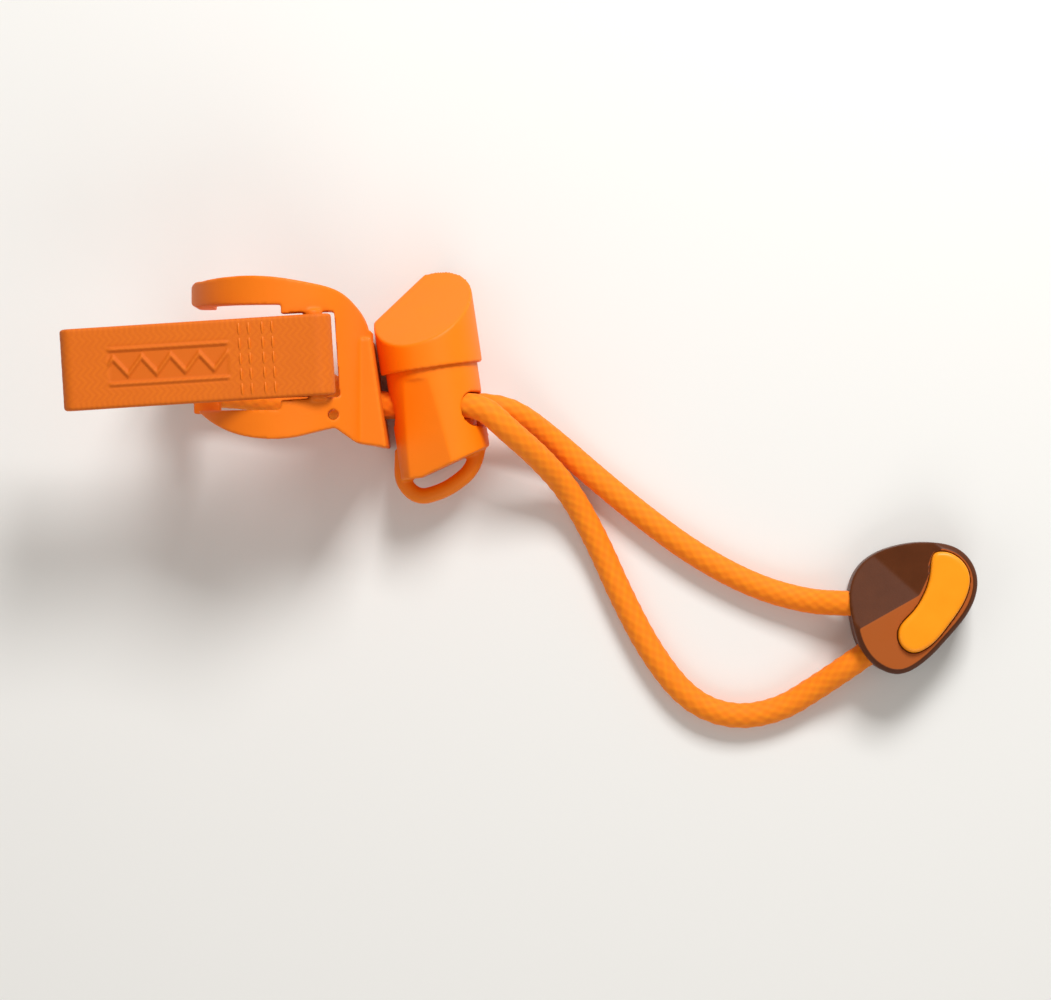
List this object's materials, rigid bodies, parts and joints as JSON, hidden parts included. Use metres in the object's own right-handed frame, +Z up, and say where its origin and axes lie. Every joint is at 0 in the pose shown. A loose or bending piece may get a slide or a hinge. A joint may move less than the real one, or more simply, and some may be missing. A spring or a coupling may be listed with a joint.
{
  "type": "cord lock",
  "caption": "Spring cord lock with a slanted thumb button on an elastic loop, with an arched hook frame for a round shaft, a webbing pull tab and a two-tone cord-end pull.",
  "frame": {"origin": "on the axis of the shaft that the arch straddles, level with the middle of the pull tab's root", "axes": "+Y along the shaft, +X from the hook frame towards the lock and the end pull, +Z up from the surface that the object lies on"},
  "size_m": [0.1235, 0.0631, 0.0274],
  "materials": {
    "frame_moulding": "injection-moulded acetal, fine satin texture",
    "lock_moulding": "injection-moulded acetal, satin",
    "tab_webbing": "coated woven tape with a pressed pattern",
    "sewing_thread": "bonded polyester thread",
    "spring_steel": "drawn stainless spring wire",
    "elastic_cord": "braided polyester sheath over an elastic core",
    "stop_brass": "crimped brass ferrule",
    "pull_shell": "injection-moulded nylon, satin",
    "pull_pad": "overmoulded soft polyurethane, semi-gloss"
  },
  "bodies": {
    "frame": {"hook_frame": "frame_moulding", "cord_loop": "elastic_cord"},
    "tab": {"pull_tab": "tab_webbing", "tab_stitching": "sewing_thread"},
    "lock": {"lock_housing": "lock_moulding", "lock_spring": "spring_steel", "cord_tail_upper": "elastic_cord", "cord_tail_lower": "elastic_cord", "cord_stop_upper": "stop_brass", "cord_stop_lower": "stop_brass", "end_shell_back": "pull_shell", "end_shell_front": "pull_shell", "end_pad": "pull_pad"},
    "button": {"lock_button": "lock_moulding"}
  },
  "joints": [
    {"name": "tab_flap", "type": "hinge", "parent": "frame", "child": "tab", "pos_m": [0.0049, 0.0003, 0.01075], "axis": [-0.0628, 0.998, 0], "range_deg": [0, 95]},
    {"name": "lock_slide", "type": "slide", "parent": "frame", "child": "lock", "axis": [0.9511, 0, 0.309], "range_m": [0, 0.009]},
    {"name": "button_press", "type": "slide", "parent": "lock", "child": "button", "axis": [0.1478, -0.989, 0], "range_m": [0, 0.002], "stiffness_N_per_m": 900, "springref_m": -0.001, "deforming": ["lock_spring"]}
  ]
}
